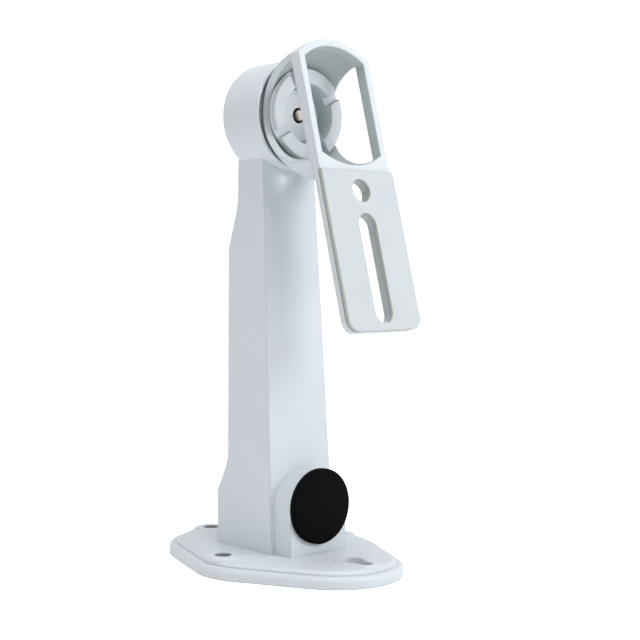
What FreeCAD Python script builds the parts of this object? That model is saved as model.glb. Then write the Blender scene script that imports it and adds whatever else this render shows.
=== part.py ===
import FreeCAD, Part
import Sketcher
import math
import os

# Camera wall bracket, in millimetres.
# Z is up along the arm, the wall face of the base lies on Z = 0, and the front,
# where the cable plug and the camera plate are, looks along -Y.

doc = FreeCAD.newDocument("camera_wall_bracket")
sheet = doc.addObject("Spreadsheet::Sheet", "Sizes")

DRIVING_SIZES = [
    # Base outline: three pairs of rounds joined by tangent lines
    ("flange_height", 3.8),
    ("flange_round", 1.5),
    ("flange_width", 2.5),
    ("plateau_step", 0.3),
    ("plateau_edge_height", 5.15),
    ("plateau_edge_slope", 1.5),
    ("plateau_height", 5.6),
    ("crown_width", 6.5),
    ("side_reach", 34.5),
    ("side_round", 24.5),
    ("side_round_y", -2.5),
    ("rear_reach", 47.8),
    ("rear_round", 26.0),
    ("front_reach", 49.2),
    ("front_round", 22.3),
    # Wall screws and the raised pads that they sit on
    ("screw_hole_radius", 2.8),
    ("screw_pad_height", 5.8),
    ("screw_pad_radius", 6.5),
    ("screw_pad_slope", 0.9),
    ("screw_pad_slope_height", 0.9),
    ("rear_hole_y", 40.3),
    ("side_hole_x", 26.0),
    ("keyhole_y", 34.4),
    ("keyhole_radius", 3.9),
    ("keyhole_pad_radius", 7.0),
    ("keyhole_pad_tip_radius", 4.8),
    ("keyhole_pad_slope", 1.2),
    ("keyhole_travel", 6.6),
    ("keyhole_slot_radius", 2.2),
    # Relief of the wall face
    ("relief_depth", 2.2),
    ("relief_rim", 4.0),
    ("rib_width", 2.0),
    ("rib_setback", 0.4),
    # Arm
    ("arm_foot_half_width", 14.05),
    ("arm_head_half_width", 11.0),
    ("arm_foot_front", 11.0),
    ("arm_head_front", 2.4),
    ("arm_front_bulge", 1.5),
    ("arm_back_round", 2.8),
    ("arm_wall", 3.0),
    ("foot_low_back", 19.9),
    ("foot_back", 20.9),
    ("foot_top_z", 23.5),
    ("foot_top_round", 4.0),
    ("shank_low_back", 15.2),
    ("shank_low_z", 34.5),
    ("shank_low_round", 14.0),
    ("shank_high_back", 16.2),
    ("shank_high_z", 107.5),
    ("shank_high_round", 6.0),
    ("neck_low_z", 122.0),
    ("neck_round", 24.0),
    ("cavity_top_z", 108.0),
    ("cable_outlet_radius", 4.5),
    ("cable_outlet_z", 98.0),
    # Cable boss at the foot and its plug
    ("boss_half_width", 12.3),
    ("boss_front", 18.4),
    ("boss_wall", 3.5),
    ("plug_z", 21.4),
    ("cable_bore_radius", 9.6),
    ("cable_recess_radius", 10.6),
    ("plug_flange_radius", 12.6),
    ("plug_flange_thickness", 2.0),
    ("plug_dome", 0.4),
    ("plug_edge_chamfer", 0.5),
    ("plug_clearance", 0.1),
    ("plug_wall", 1.6),
    ("plug_stem_length", 8.0),
    ("plug_ridge_radius", 10.2),
    # Drum at the top of the arm
    ("drum_axis_z", 151.6),
    ("drum_radius", 18.5),
    ("drum_front", 9.0),
    ("drum_back", 11.5),
    ("drum_back_round", 4.0),
    ("drum_front_chamfer", 0.3),
    ("drum_mouth_radius", 17.6),
    ("drum_mouth_depth", 3.0),
    ("counterbore_radius", 6.6),
    ("counterbore_depth", 9.5),
    # Ball joint
    ("ball_centre", 25.6),
    ("ball_radius", 23.3),
    ("ball_wall", 2.3),
    ("ball_clearance", 0.25),
    # Head: frame, half ball and camera plate in one casting
    ("head_tilt", 15.0),
    ("head_half_width", 15.4),
    ("frame_face", 4.9),
    ("frame_depth", 3.9),
    ("plate_back", 1.9),
    ("frame_bar", 2.4),
    ("window_top_radius", 20.4),
    ("window_sill", 20.1),
    ("window_sill_radius", 23.6),
    ("plate_corner_round", 4.0),
    ("plate_hole_radius", 3.85),
    ("plate_hole_drop", 28.9),
    ("plate_slot_start", 40.2),
    ("plate_slot_finish", 68.5),
    ("plate_end_margin", 6.1),
    ("tilt_slot_angle", 45.0),
    ("tilt_slot_clearance", 0.5),
    # Grip pad on the camera plate
    ("grip_start", 22.0),
    ("grip_recess", 0.6),
    ("grip_thickness", 1.7),
    ("grip_gap", 0.2),
    ("grip_overhang", 0.25),
    # Clamp cup inside the half ball
    ("cup_face", 11.6),
    ("cup_radius", 15.1),
    ("cup_step", 0.5),
    ("cup_step_length", 1.2),
    ("cup_clearance", 0.25),
    ("dish_radius", 10.3),
    ("dish_depth", 5.5),
    ("cup_slot_width", 3.0),
    ("cup_slot_depth", 2.0),
    ("cup_slot_angle", 33.0),
    # Clamp bolt and washers
    ("bolt_radius", 2.5),
    ("bolt_hole_clearance", 0.3),
    ("bolt_thread_clearance", 0.05),
    ("bolt_end_setback", 1.6),
    ("bolt_end_chamfer", 0.7),
    ("bolt_head_radius", 4.25),
    ("bolt_head_height", 5.0),
    ("bolt_socket_width", 4.0),
    ("bolt_socket_depth", 2.5),
    ("washer_radius", 6.0),
    ("washer_thickness", 1.2),
    ("spring_washer_radius", 4.6),
    ("spring_washer_thickness", 1.3),
    ("spring_washer_gap", 1.2),
]


class Length:
    """A value that keeps the spreadsheet expression it comes from."""

    def __init__(self, value, text):
        self.value = float(value)
        self.text = text

    def __add__(self, other):
        other = length(other)
        return Length(self.value + other.value, f"({self.text} + {other.text})")

    def __sub__(self, other):
        other = length(other)
        return Length(self.value - other.value, f"({self.text} - {other.text})")

    def __mul__(self, other):
        other = length(other)
        return Length(self.value * other.value, f"({self.text} * {other.text})")

    def __truediv__(self, other):
        other = length(other)
        return Length(self.value / other.value, f"({self.text} / {other.text})")

    def __neg__(self):
        return Length(-self.value, f"(0 - {self.text})")

    def __radd__(self, other):
        return length(other) + self

    def __rsub__(self, other):
        return length(other) - self

    def __rmul__(self, other):
        return length(other) * self


def length(value):
    if isinstance(value, Length):
        return value
    return Length(value, repr(float(value)))


def root(value):
    return Length(math.sqrt(value.value), f"sqrt({value.text})")


def sine(angle):
    return Length(math.sin(math.radians(angle.value)), f"sin({angle.text} * 1 deg)")


def cosine(angle):
    return Length(math.cos(math.radians(angle.value)), f"cos({angle.text} * 1 deg)")


def fill_sheet():
    """Writes each driving size in its own cell and returns them by name."""
    sizes = {}
    for row, (name, value) in enumerate(DRIVING_SIZES, start=1):
        sheet.set(f"A{row}", name)
        sheet.set(f"B{row}", str(value))
        sheet.setAlias(f"B{row}", name)
        sizes[name] = Length(value, f"Sizes.{name}")
    doc.recompute()
    return sizes


S = fill_sheet()


# Sketch helpers

def origin_feature(body, role):
    for feature in body.Origin.OriginFeatures:
        if feature.Role == role:
            return feature
    raise ValueError(role)


def bind(obj, prop, size):
    obj.setExpression(prop, length(size).text)


def new_body(name):
    body = doc.addObject("PartDesign::Body", name)
    body.Label = name
    return body


def new_sketch(body, name, plane, lift=0, across=0, along=0):
    """A sketch on one of the body's origin planes, moved off it by sizes of the sheet."""
    sketch = body.newObject("Sketcher::SketchObject", name)
    sketch.AttachmentSupport = [(origin_feature(body, plane), "")]
    sketch.MapMode = "FlatFace"
    for axis, size in (("x", across), ("y", along), ("z", lift)):
        if isinstance(size, Length):
            bind(sketch, f"AttachmentOffset.Base.{axis}", size)
    return sketch


def pin(sketch, geo, point, x, y):
    """Holds one point of the sketch at x, y from its origin."""
    for kind, size in (("DistanceX", length(x)), ("DistanceY", length(y))):
        index = sketch.addConstraint(Sketcher.Constraint(kind, -1, 1, geo, point, size.value))
        bind(sketch, f"Constraints[{index}]", size)


def hold_radius(sketch, geo, radius):
    index = sketch.addConstraint(Sketcher.Constraint("Radius", geo, length(radius).value))
    bind(sketch, f"Constraints[{index}]", radius)


def draw_circle(sketch, x, y, radius):
    centre = FreeCAD.Vector(length(x).value, length(y).value, 0)
    circle = Part.Circle(centre, FreeCAD.Vector(0, 0, 1), length(radius).value)
    geo = sketch.addGeometry(circle, False)
    pin(sketch, geo, 3, x, y)
    hold_radius(sketch, geo, radius)


def draw_outline(sketch, path):
    """A closed outline. Each step is (x, y) for a line to that point, or
    (x, y, radius, side) for an arc to it whose centre lies on that side of the way there."""
    points = [(length(step[0]), length(step[1])) for step in path]
    made = []
    for index, step in enumerate(path):
        x1, y1 = points[index - 1]
        x2, y2 = points[index]
        start = FreeCAD.Vector(x1.value, y1.value, 0)
        end = FreeCAD.Vector(x2.value, y2.value, 0)
        if len(step) == 2:
            geo = sketch.addGeometry(Part.LineSegment(start, end), False)
            made.append((geo, 1, 2))
            continue
        radius = length(step[2])
        turn = 1 if step[3] == "left" else -1
        chord = end - start
        middle = (start + end) * 0.5
        rise = math.sqrt(max(radius.value ** 2 - chord.Length ** 2 / 4, 0.0))
        normal = FreeCAD.Vector(-chord.y, chord.x, 0).normalize() * turn
        centre = middle + normal * rise
        first, last = (start, end) if turn > 0 else (end, start)
        angle_1 = math.atan2(first.y - centre.y, first.x - centre.x)
        angle_2 = math.atan2(last.y - centre.y, last.x - centre.x)
        circle = Part.Circle(centre, FreeCAD.Vector(0, 0, 1), radius.value)
        geo = sketch.addGeometry(Part.ArcOfCircle(circle, angle_1, angle_2), False)
        made.append((geo, 1, 2) if turn > 0 else (geo, 2, 1))
        hold_radius(sketch, geo, radius)
    for index, (geo, tail, head) in enumerate(made):
        following = made[(index + 1) % len(made)]
        joint = Sketcher.Constraint("Coincident", geo, head, following[0], following[1])
        sketch.addConstraint(joint)
        pin(sketch, geo, head, *points[index])


def unit(a, b):
    """Direction from point a to point b, with its length."""
    dx = b[0] - a[0]
    dy = b[1] - a[1]
    span = root(dx * dx + dy * dy)
    return dx / span, dy / span, span


def tangent_points(a, radius_a, b, radius_b):
    """Ends of the line that touches two rounds on the left of the way from a to b."""
    ux, uy, span = unit(a, b)
    lean = (radius_a - radius_b) / span
    rest = root(1 - lean * lean)
    nx = ux * lean - uy * rest
    ny = uy * lean + ux * rest
    on_a = (a[0] + nx * radius_a, a[1] + ny * radius_a)
    on_b = (b[0] + nx * radius_b, b[1] + ny * radius_b)
    return on_a, on_b


def corner_round(before, corner, after, radius):
    """Ends of the arc that rounds a corner of a chain of lines."""
    ux, uy, _ = unit(before, corner)
    vx, vy, _ = unit(corner, after)
    cross = ux * vy - uy * vx
    if cross.value < 0:
        cross = -cross
    back = radius * cross / (1 + ux * vx + uy * vy)
    start = (corner[0] - ux * back, corner[1] - uy * back)
    end = (corner[0] + vx * back, corner[1] + vy * back)
    return start, end


# Feature helpers

def pad(body, sketch, size, both_ways=False, turned=False):
    feature = body.newObject("PartDesign::Pad", sketch.Name + "_pad")
    feature.Profile = sketch
    feature.Midplane = both_ways
    feature.Reversed = turned
    bind(feature, "Length", size)
    doc.recompute()
    return feature


def pocket(body, sketch, size=None, both_ways=False, turned=False):
    """Cuts a sketch into the body, right through it where no depth is given."""
    before = body.Shape.Volume
    feature = body.newObject("PartDesign::Pocket", sketch.Name + "_cut")
    feature.Profile = sketch
    feature.Midplane = both_ways
    feature.Reversed = turned
    if size is None:
        feature.Type = "ThroughAll"
    else:
        bind(feature, "Length", size)
    doc.recompute()
    if not body.Shape.Volume < before:
        raise ValueError(f"{feature.Name} cuts nothing")
    return feature


def revolve(body, sketch, axis="V_Axis"):
    feature = body.newObject("PartDesign::Revolution", sketch.Name + "_turn")
    feature.Profile = sketch
    feature.ReferenceAxis = (sketch, [axis])
    feature.Angle = 360
    doc.recompute()
    return feature


def groove(body, sketch, axis="V_Axis"):
    before = body.Shape.Volume
    feature = body.newObject("PartDesign::Groove", sketch.Name + "_groove")
    feature.Profile = sketch
    feature.ReferenceAxis = (sketch, [axis])
    feature.Angle = 360
    doc.recompute()
    if not body.Shape.Volume < before:
        raise ValueError(f"{feature.Name} cuts nothing")
    return feature


def loft(body, first, *others, cut=False):
    before = body.Shape.Volume if body.Tip else 0.0
    kind = "PartDesign::SubtractiveLoft" if cut else "PartDesign::AdditiveLoft"
    feature = body.newObject(kind, first.Name + "_loft")
    feature.Profile = first
    feature.Sections = list(others)
    feature.Ruled = True
    doc.recompute()
    if cut and not body.Shape.Volume < before:
        raise ValueError(f"{feature.Name} cuts nothing")
    return feature


def fillet(body, radius, chosen):
    """Rounds the edges of the body's last feature that the test picks."""
    base = body.Tip
    names = [f"Edge{i}" for i, edge in enumerate(base.Shape.Edges, start=1) if chosen(edge)]
    if not names:
        raise ValueError(f"{body.Name} has no edge to round after {base.Name}")
    feature = body.newObject("PartDesign::Fillet", f"{base.Name}_round")
    feature.Base = (base, names)
    bind(feature, "Radius", radius)
    doc.recompute()
    return feature


def level_with(height):
    """Picks the edges that lie flat at this height."""
    def chosen(edge):
        box = edge.BoundBox
        return abs(box.ZMin - height.value) < 1e-4 and abs(box.ZMax - height.value) < 1e-4
    return chosen


# Arm casting: base, hollow arm, cable boss and drum in one piece

def draw_base_outline(sketch, inset):
    """The rounded kite of the base, drawn in from its rim by the inset."""
    rear = (length(0), S["rear_reach"] - S["rear_round"])
    right = (S["side_reach"] - S["side_round"], S["side_round_y"])
    left = (-right[0], right[1])
    front = (length(0), S["front_round"] - S["front_reach"])
    side_radius = S["side_round"] - inset
    rear_radius = S["rear_round"] - inset
    front_radius = S["front_round"] - inset
    right_rear, rear_right = tangent_points(right, -side_radius, rear, -rear_radius)
    front_right, right_front = tangent_points(front, -front_radius, right, -side_radius)
    rear_left = (-rear_right[0], rear_right[1])
    left_rear = (-right_rear[0], right_rear[1])
    left_front = (-right_front[0], right_front[1])
    front_left = (-front_right[0], front_right[1])
    draw_outline(sketch, [
        right_front,
        (*right_rear, side_radius, "left"),
        rear_right,
        (*rear_left, rear_radius, "left"),
        left_rear,
        (*left_front, side_radius, "left"),
        front_left,
        (*front_right, front_radius, "left"),
    ])


def draw_long_hole(sketch, x, top, bottom, top_radius, bottom_radius):
    """A round-ended slot along the sketch's second axis, in quarter arcs."""
    draw_outline(sketch, [
        (x + bottom_radius, bottom),
        (x + top_radius, top),
        (x, top + top_radius, top_radius, "left"),
        (x - top_radius, top, top_radius, "left"),
        (x - bottom_radius, bottom),
        (x, bottom - bottom_radius, bottom_radius, "left"),
        (x + bottom_radius, bottom, bottom_radius, "left"),
    ][1:])


def base_plate(body):
    flange = new_sketch(body, "flange", "XY_Plane")
    draw_base_outline(flange, 0)
    pad(body, flange, S["flange_height"])
    fillet(body, S["flange_round"], level_with(S["flange_height"]))

    # The plateau stands a small step above the flange, slopes up steeply at its edge,
    # then rises gently to the flat in its middle
    foot = S["flange_height"] + S["plateau_step"]
    step = new_sketch(body, "plateau_step", "XY_Plane")
    draw_base_outline(step, S["flange_width"])
    pad(body, step, foot)
    edge_inset = S["flange_width"] + S["plateau_edge_slope"]
    low = new_sketch(body, "plateau_low", "XY_Plane", lift=foot)
    draw_base_outline(low, S["flange_width"])
    edge = new_sketch(body, "plateau_edge", "XY_Plane", lift=S["plateau_edge_height"])
    draw_base_outline(edge, edge_inset)
    crown = new_sketch(body, "crown", "XY_Plane", lift=S["plateau_height"])
    draw_base_outline(crown, edge_inset + S["crown_width"])
    loft(body, low, edge, crown)
    raised_pads(body)


def raised_pads(body):
    """Low cones round the screw holes and a sloped pad round the keyhole."""
    slope_start = S["screw_pad_height"] - S["screw_pad_slope_height"]
    pads = new_sketch(body, "screw_pads", "XY_Plane")
    for x, y in screw_places():
        draw_circle(pads, x, y, S["screw_pad_radius"])
    pad(body, pads, slope_start)
    for name, (x, y) in zip(("rear_pad", "right_pad", "left_pad"), screw_places()):
        cone = body.newObject("PartDesign::AdditiveCone", name)
        bind(cone, "Radius1", S["screw_pad_radius"])
        bind(cone, "Radius2", S["screw_pad_radius"] - S["screw_pad_slope"])
        bind(cone, "Height", S["screw_pad_slope_height"])
        bind(cone, "Placement.Base.x", x)
        bind(cone, "Placement.Base.y", y)
        bind(cone, "Placement.Base.z", slope_start)
        doc.recompute()

    travel_end = -(S["keyhole_y"] + S["keyhole_travel"])
    low = new_sketch(body, "keyhole_pad_low", "XY_Plane", lift=slope_start)
    draw_long_hole(low, length(0), -S["keyhole_y"], travel_end,
                   S["keyhole_pad_radius"], S["keyhole_pad_tip_radius"])
    high = new_sketch(body, "keyhole_pad_high", "XY_Plane", lift=S["screw_pad_height"])
    draw_long_hole(high, length(0), -S["keyhole_y"], travel_end,
                   S["keyhole_pad_radius"] - S["keyhole_pad_slope"],
                   S["keyhole_pad_tip_radius"] - S["keyhole_pad_slope"])
    loft(body, low, high)


def screw_places():
    return [
        (length(0), S["rear_hole_y"]),
        (S["side_hole_x"], length(0)),
        (-S["side_hole_x"], length(0)),
    ]


def base_relief(body):
    """The wall face is hollowed between its rim, ribs and screw bosses."""
    relief = new_sketch(body, "relief", "XY_Plane")
    draw_base_outline(relief, S["relief_rim"])
    pocket(body, relief, S["relief_depth"], turned=True)

    bosses = new_sketch(body, "screw_bosses", "XY_Plane")
    boss_radius = S["screw_pad_radius"] - 0.8
    for x, y in screw_places():
        draw_circle(bosses, x, y, boss_radius)
    draw_circle(bosses, length(0), -S["keyhole_y"], S["keyhole_pad_radius"] - 0.8)
    pad(body, bosses, S["relief_depth"] + 0.5)

    half = S["rib_width"] / 2
    ribs = [
        ("long_rib", half, S["keyhole_y"] + S["keyhole_travel"], half, S["rear_hole_y"]),
        ("cross_rib", S["side_hole_x"], half, S["side_hole_x"], half),
    ]
    for name, right, front, left, rear in ribs:
        rib = new_sketch(body, name, "XY_Plane", lift=S["rib_setback"])
        draw_outline(rib, [(right, -front), (right, rear), (-left, rear), (-left, -front)])
        pad(body, rib, S["relief_depth"])


def arm_section(body, name, height, half_width, front, back, bulge):
    """Section of the arm: flat sides and back, and a front that bows out."""
    sketch = new_sketch(body, name, "XY_Plane", lift=height)
    path = [(half_width, back), (-half_width, back), (-half_width, -front)]
    if bulge is None:
        path.append((half_width, -front))
    else:
        radius = (half_width * half_width + bulge * bulge) / (2 * bulge)
        path.append((half_width, -front, radius, "left"))
    draw_outline(sketch, path)
    return sketch


def back_profile():
    """Corners of the arm's back, from the foot up to the neck."""
    return [
        (S["foot_back"], S["foot_top_z"], S["foot_top_round"], "right"),
        (S["shank_low_back"], S["shank_low_z"], S["shank_low_round"], "left"),
        (S["shank_high_back"], S["shank_high_z"], S["shank_high_round"], "right"),
        (S["drum_back"], S["neck_low_z"], S["neck_round"], "left"),
    ]


def arm(body):
    foot = arm_section(body, "arm_foot", length(0), S["arm_foot_half_width"],
                       S["arm_foot_front"], S["foot_back"], S["arm_front_bulge"])
    head = arm_section(body, "arm_head", S["drum_axis_z"], S["arm_head_half_width"],
                       S["arm_head_front"], S["foot_back"], S["arm_front_bulge"])
    loft(body, foot, head)

    # The back steps in above the foot and again at the neck
    wave = new_sketch(body, "back_wave", "YZ_Plane")
    corners = back_profile()
    lowest = (S["foot_low_back"], S["plateau_height"])
    highest = (S["drum_back"], S["drum_axis_z"] + 1)
    chain = [lowest] + [corner[:2] for corner in corners] + [highest]
    path = []
    for before, corner, after, style in zip(chain, chain[1:], chain[2:], corners):
        start, end = corner_round(before, corner, after, style[2])
        path.append(start)
        path.append((*end, style[2], "left" if style[3] == "right" else "right"))
    far_back = S["foot_back"] + 5
    path += [highest, (far_back, highest[1]), (far_back, lowest[1]), lowest]
    draw_outline(wave, path)
    pocket(body, wave, S["arm_foot_half_width"] * 3, both_ways=True)
    fillet(body, S["arm_back_round"], on_arm_back)


def on_arm_back(edge):
    """The long edges where the arm's sides meet its wavy back."""
    box = edge.BoundBox
    middle = edge.CenterOfMass
    at_side = abs(middle.x) > S["arm_head_half_width"].value - 0.5
    upright = box.ZLength > 1.0 and box.XLength < 2.5
    above_base = box.ZMin > S["plateau_height"].value - 0.01
    return at_side and upright and above_base and middle.y > S["drum_back"].value - 0.5


def drum(body):
    """Turned about the bolt's axis: an open mouth, the ball's seat in its floor and a bolt hole."""
    sketch = new_sketch(body, "drum", "YZ_Plane", along=S["drum_axis_z"])
    front = -S["drum_front"]
    back = S["drum_back"]
    rim = S["drum_radius"]
    edge = S["drum_front_chamfer"]
    bend = S["drum_back_round"]
    draw_outline(sketch, [
        (front, S["drum_mouth_radius"]),
        (front, rim - edge),
        (front + edge, rim),
        (back - bend, rim),
        (back, rim - bend, bend, "right"),
        (back, S["counterbore_radius"]),
        *bolt_and_ball_seats(),
    ])
    revolve(body, sketch, "H_Axis")


def bolt_and_ball_seats():
    """Profile from the counterbore through the bolt's hole to the ball's seat and the mouth."""
    seat = S["ball_radius"] + S["ball_clearance"]
    centre = S["ball_centre"]
    bore = S["bolt_radius"] + S["bolt_hole_clearance"]
    bore_start = root(seat * seat - bore * bore) - centre
    floor = S["drum_back"] - S["counterbore_depth"]
    mouth_floor = S["drum_mouth_depth"] - S["drum_front"]
    reach = centre + mouth_floor
    seat_edge = root(seat * seat - reach * reach)
    return [
        (floor, S["counterbore_radius"]),
        (floor, bore),
        (bore_start, bore),
        (mouth_floor, seat_edge, seat, "left"),
        (mouth_floor, S["drum_mouth_radius"]),
    ]


def drum_clearance(body):
    """Clears the arm out of the drum's mouth, seat, bore and counterbore."""
    sketch = new_sketch(body, "drum_hollow", "YZ_Plane", along=S["drum_axis_z"])
    beyond = S["drum_back"] + 1
    draw_outline(sketch, [
        (beyond, length(0)),
        (beyond, S["counterbore_radius"]),
        *bolt_and_ball_seats(),
        (-S["drum_front"], S["drum_mouth_radius"]),
        (-S["drum_front"], length(0)),
    ])
    groove(body, sketch, "H_Axis")


def cable_boss(body):
    sketch = new_sketch(body, "cable_boss", "XZ_Plane", lift=S["arm_foot_front"] - S["arm_wall"])
    half = S["boss_half_width"]
    axis = S["plug_z"]
    draw_outline(sketch, [
        (half, axis),
        (length(0), axis + half, half, "left"),
        (-half, axis, half, "left"),
        (-half, length(0)),
        (half, length(0)),
    ])
    pad(body, sketch, S["boss_front"] - S["arm_foot_front"] + S["arm_wall"])


def arm_cavity(body):
    """The hollow that the cable runs through, open at the wall face."""
    wall = S["arm_wall"]
    share = S["cavity_top_z"] / S["drum_axis_z"]
    top_half = S["arm_foot_half_width"] - (S["arm_foot_half_width"] - S["arm_head_half_width"]) * share
    top_front = S["arm_foot_front"] - (S["arm_foot_front"] - S["arm_head_front"]) * share
    low = arm_section(body, "cavity_foot", length(0), S["arm_foot_half_width"] - wall,
                      S["arm_foot_front"] - wall, S["shank_low_back"] - wall, None)
    high = arm_section(body, "cavity_head", S["cavity_top_z"], top_half - wall,
                       top_front - wall, S["shank_high_back"] - wall, None)
    loft(body, low, high, cut=True)

    bore = new_sketch(body, "cable_bore", "XZ_Plane", lift=S["boss_front"])
    draw_circle(bore, length(0), S["plug_z"], S["cable_bore_radius"])
    pocket(body, bore, S["boss_front"] - S["arm_foot_front"] + S["arm_wall"] + 1)

    recess = new_sketch(body, "cable_recess", "XZ_Plane", lift=S["boss_front"] - S["boss_wall"])
    draw_circle(recess, length(0), S["plug_z"], S["cable_recess_radius"])
    pocket(body, recess, S["boss_front"] - S["arm_foot_front"] + S["arm_wall"] - S["boss_wall"] + 1)

    outlet = new_sketch(body, "cable_outlet", "XZ_Plane", lift=-(S["shank_high_back"] + 2))
    draw_circle(outlet, length(0), S["cable_outlet_z"], S["cable_outlet_radius"])
    pocket(body, outlet, S["arm_wall"] + 4, turned=True)


def screw_holes(body):
    sketch = new_sketch(body, "screw_holes", "XY_Plane", lift=S["screw_pad_height"] + 1)
    for x, y in screw_places():
        draw_circle(sketch, x, y, S["screw_hole_radius"])
    pocket(body, sketch)

    keyhole = new_sketch(body, "keyhole", "XY_Plane", lift=S["screw_pad_height"] + 1)
    big = S["keyhole_radius"]
    slot = S["keyhole_slot_radius"]
    shoulder = -S["keyhole_y"] - root(big * big - slot * slot)
    end = -(S["keyhole_y"] + S["keyhole_travel"])
    draw_outline(keyhole, [
        (slot, shoulder),
        (big, -S["keyhole_y"], big, "left"),
        (length(0), big - S["keyhole_y"], big, "left"),
        (-big, -S["keyhole_y"], big, "left"),
        (-slot, shoulder, big, "left"),
        (-slot, end),
        (length(0), end - slot, slot, "left"),
        (slot, end, slot, "left"),
    ])
    pocket(body, keyhole)


def make_arm_casting():
    body = new_body("arm_casting")
    base_plate(body)
    arm(body)
    drum(body)
    cable_boss(body)
    base_relief(body)
    arm_cavity(body)
    screw_holes(body)
    drum_clearance(body)
    return body


# Head casting, in its own frame: the ball's centre is the origin, the face of the
# camera plate looks along -Y, and the plate hangs along -Z

def head_place(body):
    """Tilts the head about the ball's centre."""
    bind(body, "Placement.Base.y", -S["ball_centre"])
    bind(body, "Placement.Base.z", S["drum_axis_z"])
    body.Placement.Rotation = FreeCAD.Rotation(FreeCAD.Vector(1, 0, 0), -S["head_tilt"].value)
    bind(body, "Placement.Rotation.Angle", -S["head_tilt"])


def half_ball(body):
    """The ball behind the frame's face, solid at first."""
    sketch = new_sketch(body, "ball", "YZ_Plane")
    radius = S["ball_radius"]
    face = S["frame_face"]
    edge = root(radius * radius - face * face)
    draw_outline(sketch, [
        (-face, edge),
        (length(0), radius, radius, "right"),
        (radius, length(0), radius, "right"),
        (-face, length(0)),
    ])
    revolve(body, sketch, "H_Axis")


def plate_bottom():
    """The plate ends a set margin below its long slot."""
    return -(S["plate_slot_finish"] + S["plate_end_margin"])


def camera_plate(body):
    sketch = new_sketch(body, "plate", "XZ_Plane", lift=S["plate_back"])
    half = S["head_half_width"]
    bend = S["plate_corner_round"]
    bottom = plate_bottom()
    draw_outline(sketch, [
        (half, length(0)),
        (-half, length(0)),
        (-half, bottom + bend),
        (bend - half, bottom, bend, "left"),
        (half - bend, bottom),
        (half, bottom + bend, bend, "left"),
    ])
    pad(body, sketch, S["frame_face"] - S["plate_back"])


def trim_sides(body):
    """Cuts the ball flat on both sides, which opens its sides."""
    sketch = new_sketch(body, "side_trim", "XZ_Plane", lift=S["frame_face"] + 1)
    half = S["head_half_width"]
    reach = S["ball_radius"] + 2
    for sign in (1, -1):
        near = half * sign
        far = reach * sign
        draw_outline(sketch, [(near, reach), (near, -reach), (far, -reach), (far, reach)])
    pocket(body, sketch)


def hollow_ball(body):
    sketch = new_sketch(body, "ball_hollow", "YZ_Plane")
    inner = S["ball_radius"] - S["ball_wall"]
    start = S["frame_face"] - S["frame_depth"]
    edge = root(inner * inner - start * start)
    draw_outline(sketch, [
        (-start, edge),
        (length(0), inner, inner, "right"),
        (inner, length(0), inner, "right"),
        (-start, length(0)),
    ])
    groove(body, sketch, "H_Axis")


def frame_window(body):
    sketch = new_sketch(body, "window", "XZ_Plane", lift=S["frame_face"])
    half = S["head_half_width"] - S["frame_bar"]
    top = S["window_top_radius"]
    sill = S["window_sill_radius"]
    shoulder = root(top * top - half * half)
    sill_rise = sill - root(sill * sill - half * half)
    foot = sill_rise - S["window_sill"]
    draw_outline(sketch, [
        (half, shoulder),
        (-half, shoulder, top, "left"),
        (-half, foot),
        (half, foot, sill, "left"),
    ])
    pocket(body, sketch, S["frame_depth"] + 0.5)


def grip_seat(body):
    """The plate's face is cut back where the grip pad lies."""
    sketch = new_sketch(body, "grip_seat", "XZ_Plane", lift=S["frame_face"])
    half = S["head_half_width"] + 1
    draw_outline(sketch, [
        (half, -S["grip_start"]),
        (-half, -S["grip_start"]),
        (-half, plate_bottom() - 1),
        (half, plate_bottom() - 1),
    ])
    pocket(body, sketch, S["grip_recess"])


def plate_holes(body, name, lift):
    sketch = new_sketch(body, name, "XZ_Plane", lift=lift)
    radius = S["plate_hole_radius"]
    draw_circle(sketch, length(0), -S["plate_hole_drop"], radius)
    draw_long_hole(sketch, length(0), -S["plate_slot_start"], -S["plate_slot_finish"], radius, radius)
    pocket(body, sketch)


def tilt_slot(body):
    """The slot that the clamp bolt passes through, an arc about the ball's centre."""
    angle = S["tilt_slot_angle"]
    half = S["bolt_radius"] + S["tilt_slot_clearance"]
    inner = S["ball_radius"] - S["ball_wall"] - 3
    outer = S["ball_radius"] + 2
    low = inner * cosine(angle)
    side = inner * sine(angle)
    high = outer * cosine(angle)
    wide = outer * sine(angle)
    sketch = new_sketch(body, "tilt_slot", "YZ_Plane")
    draw_outline(sketch, [
        (low, side),
        (low, -side, inner, "right"),
        (high, -wide),
        (high, wide, outer, "left"),
    ])
    pocket(body, sketch, half * 2, both_ways=True)
    for name, sign in (("tilt_slot_top", 1), ("tilt_slot_bottom", -1)):
        end = body.newObject("PartDesign::SubtractiveCylinder", name)
        bind(end, "Radius", half)
        bind(end, "Height", outer - inner)
        # The cylinder stands along Z, so it is laid over from Z to the slot's end
        lean = angle * sign - 90
        end.Placement.Rotation = FreeCAD.Rotation(FreeCAD.Vector(1, 0, 0), lean.value)
        bind(end, "Placement.Rotation.Angle", lean)
        bind(end, "Placement.Base.y", low)
        bind(end, "Placement.Base.z", side * sign)
        doc.recompute()


def make_head_casting():
    body = new_body("head_casting")
    half_ball(body)
    trim_sides(body)
    camera_plate(body)
    hollow_ball(body)
    frame_window(body)
    grip_seat(body)
    plate_holes(body, "plate_holes", S["frame_face"] + 1)
    tilt_slot(body)
    head_place(body)
    return body


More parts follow.
